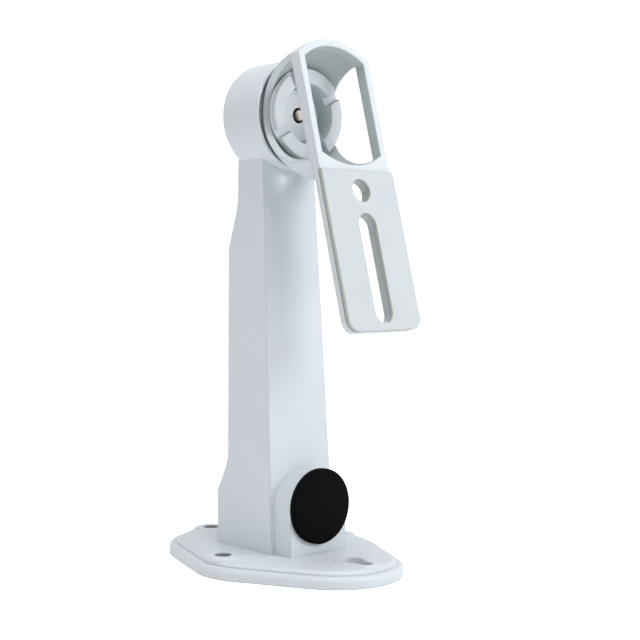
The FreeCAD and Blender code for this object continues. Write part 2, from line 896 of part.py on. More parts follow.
def make_grip_pad():
    body = new_body("grip_pad")
    seat = S["frame_face"] - S["grip_recess"]
    sketch = new_sketch(body, "grip_outline", "XZ_Plane", lift=seat)
    half = S["head_half_width"] + S["grip_overhang"]
    bend = S["plate_corner_round"]
    top = -(S["grip_start"] + S["grip_gap"])
    bottom = plate_bottom()
    draw_outline(sketch, [
        (half, top),
        (-half, top),
        (-half, bottom + bend),
        (bend - half, bottom, bend, "left"),
        (half - bend, bottom),
        (half, bottom + bend, bend, "left"),
    ])
    pad(body, sketch, S["grip_thickness"])
    plate_holes(body, "grip_holes", seat + S["grip_thickness"] + 1)
    head_place(body)
    return body


# Clamp parts, turned about the bolt's axis, which runs along Y through the ball's centre

def place_on_bolt_axis(body):
    bind(body, "Placement.Base.y", -S["ball_centre"])
    bind(body, "Placement.Base.z", S["drum_axis_z"])


def cup_back_radius():
    return S["ball_radius"] - S["ball_wall"] - S["cup_clearance"]


def dish_floor():
    return S["cup_face"] + S["dish_depth"]


def make_clamp_cup():
    body = new_body("clamp_cup")
    sketch = new_sketch(body, "cup", "YZ_Plane")
    back = cup_back_radius()
    rim = S["cup_radius"]
    step = S["cup_step"]
    face = S["cup_face"]
    bore = S["bolt_radius"] + S["bolt_thread_clearance"]
    draw_outline(sketch, [
        (face, S["dish_radius"]),
        (face, rim - step),
        (face + S["cup_step_length"], rim - step),
        (face + S["cup_step_length"], rim),
        (root(back * back - rim * rim), rim),
        (root(back * back - bore * bore), bore, back, "right"),
        (dish_floor(), bore),
    ])
    revolve(body, sketch, "H_Axis")

    slot = new_sketch(body, "cup_slot", "XZ_Plane", lift=-S["cup_face"] - S["cup_slot_depth"])
    across = S["cup_radius"] + 1
    half = S["cup_slot_width"] / 2
    c = cosine(S["cup_slot_angle"])
    s = sine(S["cup_slot_angle"])
    corners = [(across, -half), (across, half), (-across, half), (-across, -half)]
    draw_outline(slot, [(x * c - y * s, x * s + y * c) for x, y in corners])
    pocket(body, slot, S["cup_slot_depth"] + 1, turned=True)
    place_on_bolt_axis(body)
    return body


def washer_seat():
    """Distance behind the ball's centre of the face that the washers lie on."""
    return S["ball_centre"] + S["drum_back"] - S["counterbore_depth"]


def head_seat():
    return washer_seat() + S["washer_thickness"] + S["spring_washer_thickness"]


def make_clamp_bolt():
    body = new_body("clamp_bolt")
    sketch = new_sketch(body, "bolt", "YZ_Plane")
    shank = S["bolt_radius"]
    chamfer = S["bolt_end_chamfer"]
    end = dish_floor() + S["bolt_end_setback"]
    top = head_seat() + S["bolt_head_height"]
    head = S["bolt_head_radius"]
    draw_outline(sketch, [
        (end, length(0)),
        (end, shank - chamfer),
        (end + chamfer, shank),
        (head_seat(), shank),
        (head_seat(), head),
        (top - chamfer, head),
        (top, head - chamfer),
        (top, length(0)),
    ])
    revolve(body, sketch, "H_Axis")

    socket = new_sketch(body, "bolt_socket", "XZ_Plane", lift=-top)
    flat = S["bolt_socket_width"] / 2
    tall = flat * 2 / root(length(3))
    draw_outline(socket, [
        (flat, tall / 2),
        (length(0), tall),
        (-flat, tall / 2),
        (-flat, -tall / 2),
        (length(0), -tall),
        (flat, -tall / 2),
    ])
    pocket(body, socket, S["bolt_socket_depth"], turned=True)
    place_on_bolt_axis(body)
    return body


def make_washer(name, start, outer, thickness, gap=None):
    body = new_body(name)
    sketch = new_sketch(body, name + "_section", "YZ_Plane")
    bore = S["bolt_radius"] + S["bolt_hole_clearance"]
    draw_outline(sketch, [
        (start, bore),
        (start, outer),
        (start + thickness, outer),
        (start + thickness, bore),
    ])
    revolve(body, sketch, "H_Axis")
    if gap is not None:
        split = new_sketch(body, name + "_split", "XZ_Plane", lift=-start + 1)
        draw_outline(split, [(gap / 2, bore - 1), (gap / 2, outer + 1), (-gap / 2, outer + 1), (-gap / 2, bore - 1)])
        pocket(body, split)
    place_on_bolt_axis(body)
    return body


def make_cable_plug():
    """Soft plug: a flat cap with a hollow stem and a ridge that snaps behind the boss's wall."""
    body = new_body("cable_plug")
    sketch = new_sketch(body, "plug", "YZ_Plane", along=S["plug_z"])
    seat = -S["boss_front"]
    rim = S["plug_flange_radius"]
    edge = S["plug_edge_chamfer"]
    front = seat - S["plug_flange_thickness"]
    stem = S["cable_bore_radius"] - S["plug_clearance"]
    hollow = stem - S["plug_wall"]
    ridge = S["plug_ridge_radius"]
    behind_wall = seat + S["boss_wall"] + S["plug_clearance"]
    ridge_end = behind_wall + (ridge - stem)
    stem_end = seat + S["plug_stem_length"]
    dome = S["plug_dome"]
    flat = rim - edge
    dome_radius = (flat * flat + dome * dome) / (2 * dome)
    draw_outline(sketch, [
        (front - dome, length(0)),
        (front, flat, dome_radius, "right"),
        (front + edge, rim),
        (seat, rim),
        (seat, stem),
        (behind_wall, stem),
        (behind_wall, ridge),
        (ridge_end, ridge),
        (stem_end, stem - 0.6),
        (stem_end, hollow),
        (seat, hollow),
        (seat, length(0)),
    ])
    revolve(body, sketch, "H_Axis")
    return body


def check_and_write(bodies):
    doc.recompute()
    for obj in doc.Objects:
        if "Invalid" in obj.State or "Error" in obj.State:
            raise ValueError(f"{obj.Name} failed: {obj.State}")
    for body in bodies:
        if body.Shape.isNull() or not body.Shape.isValid():
            raise ValueError(f"{body.Label} has no valid shape")
        if len(body.Shape.Solids) != 1:
            raise ValueError(f"{body.Label} has {len(body.Shape.Solids)} solids")
    os.makedirs("parts", exist_ok=True)
    for body in bodies:
        body.Shape.exportStep(f"parts/{body.Label}.step")
        print(body.Label, round(body.Shape.Volume, 1), "mm3")


check_and_write([
    make_arm_casting(),
    make_head_casting(),
    make_grip_pad(),
    make_clamp_cup(),
    make_clamp_bolt(),
    make_washer("flat_washer", washer_seat(), S["washer_radius"], S["washer_thickness"]),
    make_washer("spring_washer", washer_seat() + S["washer_thickness"], S["spring_washer_radius"],
                S["spring_washer_thickness"], S["spring_washer_gap"]),
    make_cable_plug(),
])
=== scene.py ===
import math

import bmesh
import bpy
from mathutils import Matrix, Vector


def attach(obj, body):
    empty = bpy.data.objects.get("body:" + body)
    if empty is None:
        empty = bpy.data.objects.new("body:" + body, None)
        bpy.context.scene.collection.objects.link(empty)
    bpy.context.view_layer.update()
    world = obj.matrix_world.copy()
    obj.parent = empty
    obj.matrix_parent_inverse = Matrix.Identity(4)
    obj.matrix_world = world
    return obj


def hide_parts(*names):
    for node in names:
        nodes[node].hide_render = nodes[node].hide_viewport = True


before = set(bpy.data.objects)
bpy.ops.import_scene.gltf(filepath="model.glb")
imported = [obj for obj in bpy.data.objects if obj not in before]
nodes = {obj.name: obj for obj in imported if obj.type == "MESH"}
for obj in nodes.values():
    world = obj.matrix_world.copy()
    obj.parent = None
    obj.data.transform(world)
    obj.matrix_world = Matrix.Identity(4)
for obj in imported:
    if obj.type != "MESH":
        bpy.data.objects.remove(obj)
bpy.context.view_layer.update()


def direction(azimuth, elevation):
    """Unit vector at angles in radians: azimuth 0 is the object's front, at -Y, and pi / 2 is at +X."""
    return Vector((
        math.sin(azimuth) * math.cos(elevation),
        -math.cos(azimuth) * math.cos(elevation),
        math.sin(elevation),
    ))


def dot(first, second):
    return sum(a * b for a, b in zip(first, second))


def add_to_scene(name, data):
    """A new object with a mesh, a lamp's data or a camera's data."""
    piece = bpy.data.objects.new(name, data)
    bpy.context.scene.collection.objects.link(piece)
    return piece


# Camera, at the photograph's angle and distance

VIEW_AZIMUTH = math.radians(-42.222)
VIEW_ELEVATION = math.radians(2.206)
CAMERA_PLACE = (-0.28903, -0.33764, 0.09994)
VIEW_RIGHT = Vector((math.cos(VIEW_AZIMUTH), math.sin(VIEW_AZIMUTH), 0.0))
LENS_MM = 73.125
SENSOR_MM = 36.0


def make_camera():
    data = bpy.data.cameras.new("camera")
    data.lens = LENS_MM
    data.sensor_width = SENSOR_MM
    data.clip_start = 0.01
    data.clip_end = 20.0
    back = direction(VIEW_AZIMUTH, VIEW_ELEVATION)
    turn = Matrix((VIEW_RIGHT, back.cross(VIEW_RIGHT), back)).transposed()
    camera = add_to_scene("camera", data)
    camera.matrix_world = Matrix.Translation(CAMERA_PLACE) @ turn.to_4x4()
    bpy.context.scene.camera = camera


# Directions, and the places and sizes of the object that this script needs, in metres

ASIDE = (1.0, 0.0, 0.0)
BACKWARD = (0.0, 1.0, 0.0)
UPWARD = (0.0, 0.0, 1.0)

BOLT_AXIS_Z = 0.1516
BALL_CENTRE = (0.0, -0.0256, BOLT_AXIS_Z)

# The head's own directions. Its places are measured forward and up from the ball's centre.
HEAD_TILT = math.radians(15.0)
HEAD_FORWARD = (0.0, -math.cos(HEAD_TILT), math.sin(HEAD_TILT))
HEAD_UP = (0.0, math.sin(HEAD_TILT), math.cos(HEAD_TILT))
HEAD_PLACE = Matrix.Translation(BALL_CENTRE) @ Matrix.Rotation(-HEAD_TILT, 4, "X")
FRAME_BACK = 0.0010
FRAME_FACE = 0.0049
PLATE_BACK = 0.0019
PLATE_END = -0.0712
WINDOW_HALF_WIDTH = 0.0130
WINDOW_FOOT = -0.0215
WINDOW_ARCH_RADIUS = 0.0213
BALL_INNER_RADIUS = 0.0212
BALL_EDGE_RADIUS = 0.0175

# Screw holes in the base: centre and radius, and the height of the pads that they open in
BASE_HOLES = [
    ((0.0, 0.0403), 0.0028),
    ((0.026, 0.0), 0.0028),
    ((-0.026, 0.0), 0.0028),
]
BASE_HOLE_TOP = 0.0062

# The grip pad, stuck into the plate
PAD_SEAT = 0.0043
PAD_THICKNESS = 0.0017
FOOT_LINE_HEIGHT = 0.0003

# The clamp cup, its face and dish measured backwards from the ball's centre
CUP_BACK_RADIUS = 0.02075
CUP_FACE = 0.0116
CUP_FACE_RADIUS = 0.0149
CUP_STEP_RADIUS = 0.0153
CUP_RIM_RADIUS = 0.0151
CUP_STEP_END = 0.0128
CUP_RIM_START = 0.0132
CUP_CHAMFER = 0.0002
CUP_SLOT_WIDTH = 0.0030
CUP_SLOT_DEPTH = 0.0020
CUP_SLOT_ANGLES = (30.0, 120.0)
DISH_MOUTH_RADIUS = 0.0102
DISH_FLOOR_RADIUS = 0.0086
DISH_FLOOR = 0.0171
DISH_FILLET = 0.0006
BORE_RADIUS = 0.00265

# The clamp bolt and its thread. What lies in front of BOLT_END_RING is the bolt's end, which
# moves forward by BOLT_REACH. A highlight is painted on one side of its end, towards the key lamp.
BOLT_END_RING = -0.0060
BOLT_REACH = 0.0019
BOLT_END_FACE = -0.0087
HIGHLIGHT_SIDE = (0.94, 0.0, 0.34)
HIGHLIGHT_FROM = -0.00154
THREAD_RADIUS = 0.00275
THREAD_PITCH = 0.0008


# Colours

COAT = (0.64, 0.6875, 0.73)
# Painted shade for the head's hollow and for the walls of its window and holes
HOLLOW_SHADE = (0.72, 0.74, 0.71)
# Painted shade for the wall of the cup's dish
DISH_WALL_SHADE = (0.64, 0.69, 0.67)
# Painted shade for the base's screw holes
HOLE_SHADE = (0.05, 0.055, 0.065)
PAD_SKIN = (0.535, 0.575, 0.605)
PAD_EDGE = (0.42, 0.43, 0.40)
# A dark line along the grip pad's foot
PAD_FOOT_LINE = (0.20, 0.205, 0.185)
PLUG_BLACK = (0.0018, 0.0020, 0.0026)
OXIDE_DARK = (0.018, 0.017, 0.016)
OXIDE_LIGHT = (0.034, 0.032, 0.030)
# Painted highlight for one side of the bolt's end
BOLT_END_HIGHLIGHT = (0.66, 0.60, 0.52)
# Painted shade for the thread's roots and painted highlight for its crests
THREAD_ROOT_SHADE = (0.16, 0.13, 0.10)
THREAD_CREST_HIGHLIGHT = (0.86, 0.80, 0.72)
WASHER_ZINC = (0.64, 0.63, 0.60)
SPRING_STEEL = (0.46, 0.45, 0.43)
WHITE = (1.0, 1.0, 1.0, 1.0)
STAGE_WHITE = (0.94, 0.94, 0.94, 1.0)


def tinted(colour, factor):
    return tuple(channel * factor for channel in colour)


def filtered(colour, filter_colour):
    """The colour as seen through another."""
    return tuple(a * b for a, b in zip(colour, filter_colour))


# Materials

class Shader:
    """A material's node tree with short ways to add and link nodes."""

    def __init__(self, name):
        self.material = bpy.data.materials.new(name)
        self.material.use_nodes = True
        self.tree = self.material.node_tree
        self.tree.nodes.clear()
        self.surface = self.node("ShaderNodeBsdfPrincipled")
        output = self.node("ShaderNodeOutputMaterial")
        self.link(self.surface.outputs["BSDF"], output.inputs["Surface"])
        coordinates = self.node("ShaderNodeTexCoord")
        self.place = coordinates.outputs["Object"]

    def node(self, kind, **settings):
        node = self.tree.nodes.new(kind)
        for key, value in settings.items():
            setattr(node, key, value)
        return node

    def link(self, source, target):
        self.tree.links.new(source, target)

    def paint(self, colour):
        self.link(colour, self.surface.inputs["Base Color"])

    def calc(self, operation, first, second=None, third=None):
        """One step of arithmetic on sockets and numbers."""
        node = self.node("ShaderNodeMath", operation=operation)
        for socket, value in zip(node.inputs, (first, second, third)):
            if isinstance(value, (int, float)):
                socket.default_value = value
            elif value is not None:
                self.link(value, socket)
        return node.outputs["Value"]

    def spread(self, value, low, high, new_low, new_high):
        """Maps the range low to high onto a new range, and holds the new values beyond it."""
        node = self.node("ShaderNodeMapRange")
        self.link(value, node.inputs["Value"])
        numbers = {"From Min": low, "From Max": high, "To Min": new_low, "To Max": new_high}
        for name, number in numbers.items():
            node.inputs[name].default_value = number
        return node.outputs["Result"]

    def below(self, value, edge, blend, most=1.0):
        """A mask that falls to 0 as the value passes an edge."""
        return self.spread(value, edge, edge + blend, most, 0.0)

    def above(self, value, edge, blend):
        """A mask that rises to 1 as the value passes an edge."""
        return self.spread(value, edge, edge + blend, 0.0, 1.0)

    def both(self, first, second):
        return self.calc("MULTIPLY", first, second)

    def either(self, first, second):
        return self.calc("MAXIMUM", first, second)

    def mix(self, factor, first, second):
        """Blends two colours, each a socket or a tuple."""
        node = self.node("ShaderNodeMix", data_type="RGBA")
        self.link(factor, node.inputs["Factor"])
        for socket, value in zip((node.inputs[6], node.inputs[7]), (first, second)):
            if isinstance(value, tuple):
                socket.default_value = (*value, 1.0)
            else:
                self.link(value, socket)
        return node.outputs[2]

    def ramp(self, value, stops):
        node = self.node("ShaderNodeValToRGB")
        self.link(value, node.inputs["Fac"])
        for element, (at, colour) in zip(node.color_ramp.elements, stops):
            element.position = at
            element.color = (*colour, 1.0)
        return node.outputs["Color"]

    def noise(self, scale, detail, roughness=0.5):
        node = self.node("ShaderNodeTexNoise")
        node.inputs["Scale"].default_value = scale
        node.inputs["Detail"].default_value = detail
        node.inputs["Roughness"].default_value = roughness
        self.link(self.place, node.inputs["Vector"])
        return node.outputs["Fac"]

    def along(self, line, start=None):
        """Distance of the shaded point along a line's direction, from the origin or from a start point."""
        node = self.node("ShaderNodeVectorMath", operation="DOT_PRODUCT")
        self.link(self.place, node.inputs[0])
        node.inputs[1].default_value = line
        if start is None:
            return node.outputs["Value"]
        return self.calc("SUBTRACT", node.outputs["Value"], dot(line, start))

    def distance_to(self, point, place=None):
        node = self.node("ShaderNodeVectorMath", operation="DISTANCE")
        self.link(place or self.place, node.inputs[0])
        node.inputs[1].default_value = point
        return node.outputs["Value"]

    def flat_distance_to(self, centre):
        """Distance from an upright line through a point of the floor."""
        flat = self.node("ShaderNodeVectorMath", operation="MULTIPLY")
        self.link(self.place, flat.inputs[0])
        flat.inputs[1].default_value = (1.0, 1.0, 0.0)
        return self.distance_to((*centre, 0.0), flat.outputs["Vector"])

    def off_line(self, distance, along_line):
        """Distance from a line, out of the distance to a point on it and the length along it."""
        squared = self.calc("POWER", distance, 2.0)
        return self.calc("SQRT", self.calc("SUBTRACT", squared, self.calc("POWER", along_line, 2.0)))

    def off_bolt_axis(self):
        aside = self.along(ASIDE)
        up = self.along(UPWARD, BALL_CENTRE)
        squares = self.calc("ADD", self.both(aside, aside), self.both(up, up))
        return self.calc("SQRT", squares)

    def crevice(self, distance):
        """1 in the open, falling towards 0 deep in corners and gaps."""
        node = self.node("ShaderNodeAmbientOcclusion", samples=8)
        node.inputs["Distance"].default_value = distance
        return node.outputs["AO"]

    def gloss(self, texture, low, high):
        """Roughness that wanders between two values with a noise."""
        self.link(self.spread(texture, 0.3, 0.7, low, high), self.surface.inputs["Roughness"])

    def bump(self, height, strength, distance, edge=None):
        """Fine relief, over edges that are rounded by a radius where one is given."""
        node = self.node("ShaderNodeBump")
        node.inputs["Strength"].default_value = strength
        node.inputs["Distance"].default_value = distance
        self.link(height, node.inputs["Height"])
        if edge is not None:
            bevel = self.node("ShaderNodeBevel", samples=6)
            bevel.inputs["Radius"].default_value = edge
            self.link(bevel.outputs["Normal"], node.inputs["Normal"])
        self.link(node.outputs["Normal"], self.surface.inputs["Normal"])


def powder_coat(shader, colour, crevice_shade, edge):
    """Baked powder coat: rounded edges, fine orange peel, faint clouding, and painted shade in the corners.
    """
    clouds = shader.noise(scale=28.0, detail=3.0)
    tint = shader.ramp(clouds, [(0.3, tinted(colour, 0.975)), (0.7, tinted(colour, 1.02))])
    # Painted shade: corners and gaps, found by ambient occlusion, are darkened in the colour.
    in_crevice = shader.spread(shader.crevice(0.0035), 0.25, 0.9, 1.0, 0.0)
    peel = shader.noise(scale=1500.0, detail=2.0, roughness=0.55)
    shader.gloss(shader.noise(scale=420.0, detail=2.0), 0.46, 0.56)
    shader.surface.inputs["IOR"].default_value = 1.42
    shader.bump(peel, 0.3, 0.00004, edge)
    return shader.mix(shader.both(in_crevice, crevice_shade), tint, tinted(colour, 0.42))


def arm_coat(name, colour):
    """The arm's coat, with painted shade in the base's screw holes."""
    shader = Shader(name)
    shade = powder_coat(shader, colour, crevice_shade=0.14, edge=0.0009)
    under = shader.below(shader.along(UPWARD), BASE_HOLE_TOP - 0.0007, 0.0005)
    # Painted shade: the screw holes are darkened below the top of their pads.
    for centre, radius in BASE_HOLES:
        within = shader.below(shader.flat_distance_to(centre), radius + 0.00005, 0.00015, most=0.55)
        shade = shader.mix(shader.both(within, under), shade, HOLE_SHADE)
    shader.paint(shade)
    return shader.material


def shell_coat(name, colour):
    """The head's coat, with painted shade inside the half ball, fainter on its bevelled edges, and on the
    walls of the window and the plate's holes.
    """
    shader = Shader(name)
    shade = powder_coat(shader, colour, crevice_shade=0.35, edge=0.0006)
    distance = shader.distance_to(BALL_CENTRE)
    aside = shader.along(ASIDE)
    forward = shader.along(HEAD_FORWARD, BALL_CENTRE)
    up = shader.along(HEAD_UP, BALL_CENTRE)

    # Painted shade inside the half ball and, fainter, on its bevelled edges, behind the frame.
    in_ball = shader.below(distance, BALL_INNER_RADIUS, 0.0002)
    on_bevel = shader.below(shader.off_line(distance, aside), BALL_EDGE_RADIUS - 0.00008, 0.00008, most=0.3)
    behind_frame = shader.below(forward, FRAME_BACK - 0.0003, 0.0005)
    hollow_shade = shader.both(shader.either(in_ball, on_bevel), behind_frame)

    # Painted shade on the walls of the window and of the plate's holes.
    in_frame = shader.both(shader.above(forward, FRAME_BACK - 0.0003, 0.0005),
                           shader.above(up, WINDOW_FOOT, 0.0007))
    in_plate = shader.above(forward, PLATE_BACK + 0.00015, 0.0001)
    off_face = shader.below(forward, FRAME_FACE - 0.0003, 0.00015)
    through = shader.both(shader.either(in_frame, in_plate), off_face)

    off_middle = shader.calc("ABSOLUTE", aside)
    between_sides = shader.below(off_middle, WINDOW_HALF_WIDTH + 0.00003, 0.00007, most=0.95)
    under_arch = shader.below(shader.off_line(distance, forward), WINDOW_ARCH_RADIUS, 0.0007)
    inside_outline = shader.both(shader.either(shader.below(up, 0.0, 0.0005), under_arch),
                                 shader.above(up, PLATE_END, 0.0007))
    wall_shade = shader.both(shader.both(between_sides, inside_outline), through)

    shader.paint(shader.mix(shader.either(hollow_shade, wall_shade), shade, filtered(colour, HOLLOW_SHADE)))
    return shader.material


def cup_coat(name, colour):
    """The cup's coat, with painted shade on its dish's wall, darker deeper down, round a threaded hole of
    bare turned metal with painted shade in its roots and painted highlights on its crests.
    """
    shader = Shader(name)
    shade = powder_coat(shader, colour, crevice_shade=0.15, edge=0.00035)
    off_axis = shader.off_bolt_axis()
    back = shader.along(BACKWARD)

    taper = (DISH_MOUTH_RADIUS - DISH_FLOOR_RADIUS) / (DISH_FLOOR - CUP_FACE - DISH_FILLET)
    face = BALL_CENTRE[1] + CUP_FACE
    mouth = shader.calc("MULTIPLY_ADD", back, taper, shader.calc("ADD", off_axis, -face * taper))
    # Painted shade on the dish's wall, darker deeper down.
    on_wall = shader.both(shader.above(mouth, DISH_MOUTH_RADIUS - 0.0002, 0.0001),
                          shader.below(mouth, DISH_MOUTH_RADIUS + 0.00005, 0.00005))
    shade_deeper = shader.spread(back, face + 0.0002, face + 0.0035, 0.35, 1.0)
    shade = shader.mix(shader.both(on_wall, shade_deeper), shade, filtered(colour, DISH_WALL_SHADE))

    # The threaded hole is bare metal, with painted shade in the roots of its turns and painted highlights on
    # their crests.
    bare = shader.below(off_axis, THREAD_RADIUS, 0.00012)
    turns = shader.calc("SINE", shader.both(back, 2.0 * math.pi / THREAD_PITCH))
    metal = shader.mix(shader.spread(turns, -1.0, 1.0, 0.0, 1.0), THREAD_ROOT_SHADE, THREAD_CREST_HIGHLIGHT)
    shader.paint(shader.mix(bare, shade, metal))
    shader.link(shader.both(bare, 0.8), shader.surface.inputs["Metallic"])
    return shader.material


def bolt_steel(name):
    """Black oxide over steel, with a painted highlight on one side of the bolt's end, towards the key lamp.
    """
    shader = Shader(name)
    dark = shader.ramp(shader.noise(scale=700.0, detail=3.0), [(0.25, OXIDE_DARK), (0.75, OXIDE_LIGHT)])
    # Painted highlight: the middle of the bolt's end is light on its side towards the key lamp.
    on_end = shader.below(shader.along(BACKWARD), BOLT_END_FACE, 0.0002)
    middle = shader.below(shader.off_bolt_axis(), 0.0015, 0.0004)
    towards_light = shader.above(shader.along(HIGHLIGHT_SIDE, BALL_CENTRE), HIGHLIGHT_FROM, 0.0024)
    highlight = shader.both(on_end, shader.both(middle, towards_light))
    shader.paint(shader.mix(highlight, dark, BOLT_END_HIGHLIGHT))
    shader.surface.inputs["Metallic"].default_value = 0.55
    shader.gloss(shader.noise(scale=1900.0, detail=2.0), 0.34, 0.48)
    shader.bump(shader.noise(scale=2600.0, detail=2.0), 0.25, 0.00003)
    return shader.material


def plated_steel(name, colour, rough):
    """Plated or sprung steel with a fine grain of tool marks."""
    shader = Shader(name)
    blotches = shader.noise(scale=700.0, detail=3.0)
    shader.paint(shader.ramp(blotches, [(0.25, tinted(colour, 0.82)), (0.75, tinted(colour, 1.08))]))
    shader.surface.inputs["Metallic"].default_value = 1.0
    shader.gloss(shader.noise(scale=1900.0, detail=2.0), rough - 0.06, rough + 0.08)
    shader.bump(shader.noise(scale=2600.0, detail=2.0), 0.25, 0.00003)
    return shader.material


def plug_rubber(name, colour):
    """Moulded black rubber with a matt grain."""
    shader = Shader(name)
    clouds = shader.noise(scale=60.0, detail=3.0)
    shader.paint(shader.ramp(clouds, [(0.3, tinted(colour, 0.94)), (0.7, tinted(colour, 1.05))]))
    grain = shader.noise(scale=1300.0, detail=3.0, roughness=0.6)
    shader.gloss(grain, 0.55, 0.65)
    shader.surface.inputs["Specular IOR Level"].default_value = 0.03
    shader.bump(grain, 0.4, 0.00005, edge=0.0003)
    return shader.material


def pad_rubber(name, colour):
    """The grip pad's skin and greyer sides, with a dark line along its foot near its outer sides."""
    shader = Shader(name)
    clouds = shader.noise(scale=60.0, detail=3.0)
    skin = shader.ramp(clouds, [(0.3, tinted(colour, 0.97)), (0.7, tinted(colour, 1.02))])
    height = shader.calc("SUBTRACT", shader.along(HEAD_FORWARD, BALL_CENTRE), PAD_SEAT)
    on_side = shader.spread(height, PAD_THICKNESS * 0.55, PAD_THICKNESS * 0.97, 1.0, 0.0)
    # A dark line along the pad's foot, drawn only near its outer sides.
    near_rim = shader.above(shader.calc("ABSOLUTE", shader.along(ASIDE)), 0.009, 0.001)
    foot_line = shader.both(near_rim, shader.below(height, FOOT_LINE_HEIGHT, FOOT_LINE_HEIGHT / 2))
    shader.paint(shader.mix(foot_line, shader.mix(on_side, skin, PAD_EDGE), PAD_FOOT_LINE))
    grain = shader.noise(scale=1700.0, detail=3.0, roughness=0.6)
    shader.gloss(grain, 0.58, 0.68)
    shader.surface.inputs["Specular IOR Level"].default_value = 0.35
    shader.bump(grain, 0.4, 0.00005, edge=0.00025)
    return shader.material


# Pieces that stand for a CAD node with a form that the photograph shows more closely

BALL_TRIM = 0.0150
BALL_EDGE_SLOPE = 0.62
CUTTER_NEAR = 0.010
CUTTER_FAR = 0.0175
CUTTER_RADIUS = 0.026
CUTTER_STEPS = 96
CUP_STEPS = 144
CUP_BACK_STEPS = 18


def new_object(name, bm):
    mesh = bpy.data.meshes.new(name)
    bm.to_mesh(mesh)
    bm.free()
    return add_to_scene(name, mesh)


def copied_node(name, node):
    """A new object with a copy of a CAD node's mesh."""
    mesh = nodes[node].data.copy()
    mesh.name = name
    return add_to_scene(name, mesh)


def block(name, low, high, place):
    """A box between two corners, set at a place."""
    bm = bmesh.new()
    bmesh.ops.create_cube(bm, size=1.0)
    middle = (Vector(low) + Vector(high)) / 2
    size = Vector(high) - Vector(low)
    bm.transform(place @ Matrix.Translation(middle) @ Matrix.Diagonal((*size, 1.0)))
    return new_object(name, bm)


def side_cutter(side):
    """Takes the half ball's side off flat, with a cone that widens outwards, only behind the frame."""
    section = [
        (CUTTER_NEAR, 0.0),
        (CUTTER_NEAR, BALL_EDGE_RADIUS - (BALL_TRIM - CUTTER_NEAR) * BALL_EDGE_SLOPE),
        (BALL_TRIM, BALL_EDGE_RADIUS),
        (BALL_TRIM, CUTTER_RADIUS),
        (CUTTER_FAR, CUTTER_RADIUS),
        (CUTTER_FAR, 0.0),
    ]
    bm = bmesh.new()
    start = -math.asin(FRAME_BACK / CUTTER_RADIUS)
    rows = []
    for step in range(CUTTER_STEPS + 1):
        angle = start + (math.pi - 2.0 * start) * step / CUTTER_STEPS
        back = math.sin(angle)
        up = math.cos(angle)
        rows.append([bm.verts.new((side * aside, off * back, off * up)) for aside, off in section])
    for row, following in zip(rows, rows[1:]):
        for i in range(1, len(section) - 2):
            bm.faces.new((row[i], row[i + 1], following[i + 1], following[i]))
        bm.faces.new((row[0], row[1], following[1]))
        bm.faces.new((row[-1], row[-2], following[-2]))
    bm.faces.new(rows[0])
    bm.faces.new(rows[-1])
    bmesh.ops.remove_doubles(bm, verts=bm.verts, dist=1e-7)
    bmesh.ops.recalc_face_normals(bm, faces=bm.faces)
    bm.transform(HEAD_PLACE)
    return new_object("side_cutter", bm)


def apply_modifiers(piece):
    """Gives the piece the mesh that its modifiers make."""
    depsgraph = bpy.context.evaluated_depsgraph_get()
    mesh = bpy.data.meshes.new_from_object(piece.evaluated_get(depsgraph))
    mesh.name = piece.name
    piece.modifiers.clear()
    piece.data = mesh


def cut_out(piece, cutters, smooth_angle):
    """Cuts the cutters out of the piece, and shades it smooth between its sharp edges."""
    for cutter in cutters:
        modifier = piece.modifiers.new("cut", "BOOLEAN")
        modifier.operation = "DIFFERENCE"
        modifier.solver = "EXACT"
        modifier.object = cutter
    apply_modifiers(piece)
    piece.data.shade_smooth()
    piece.data.set_sharp_from_angle(angle=math.radians(smooth_angle))
    for cutter in cutters:
        bpy.data.objects.remove(cutter)
    weighted = piece.modifiers.new("normals", "WEIGHTED_NORMAL")
    weighted.keep_sharp = True
    apply_modifiers(piece)


def dress(piece, material):
    piece.data.materials.clear()
    piece.data.materials.append(material)


def make_head_shell(material):
    """The head with its half ball trimmed flat and bevelled at both sides, behind the frame."""
    piece = copied_node("head_shell", "head_casting")
    piece.data.attributes.remove(piece.data.attributes["custom_normal"])
    cutters = []
    for side in (-1, 1):
        cutters.append(side_cutter(side))
    cut_out(piece, cutters, smooth_angle=32.0)
    dress(piece, material)
    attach(piece, "head")
    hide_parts("head_casting")


def cup_section():
    """The cup's outline as distances back from the ball's centre and off the bolt's axis."""
    section = [
        (CUP_FACE, DISH_MOUTH_RADIUS),
        (CUP_FACE, CUP_FACE_RADIUS - CUP_CHAMFER),
        (CUP_FACE + CUP_CHAMFER, CUP_FACE_RADIUS),
        (CUP_STEP_END, CUP_FACE_RADIUS),
        (CUP_STEP_END, CUP_STEP_RADIUS),
        (CUP_RIM_START, CUP_RIM_RADIUS),
    ]
    for step in range(CUP_BACK_STEPS + 1):
        off = CUP_RIM_RADIUS + (BORE_RADIUS - CUP_RIM_RADIUS) * step / CUP_BACK_STEPS
        section.append((math.sqrt(CUP_BACK_RADIUS ** 2 - off * off), off))
    section += [
        (DISH_FLOOR, BORE_RADIUS),
        (DISH_FLOOR, DISH_FLOOR_RADIUS - DISH_FILLET),
        (DISH_FLOOR - DISH_FILLET / 3, DISH_FLOOR_RADIUS - DISH_FILLET / 3),
        (DISH_FLOOR - DISH_FILLET, DISH_FLOOR_RADIUS),
    ]
    return section


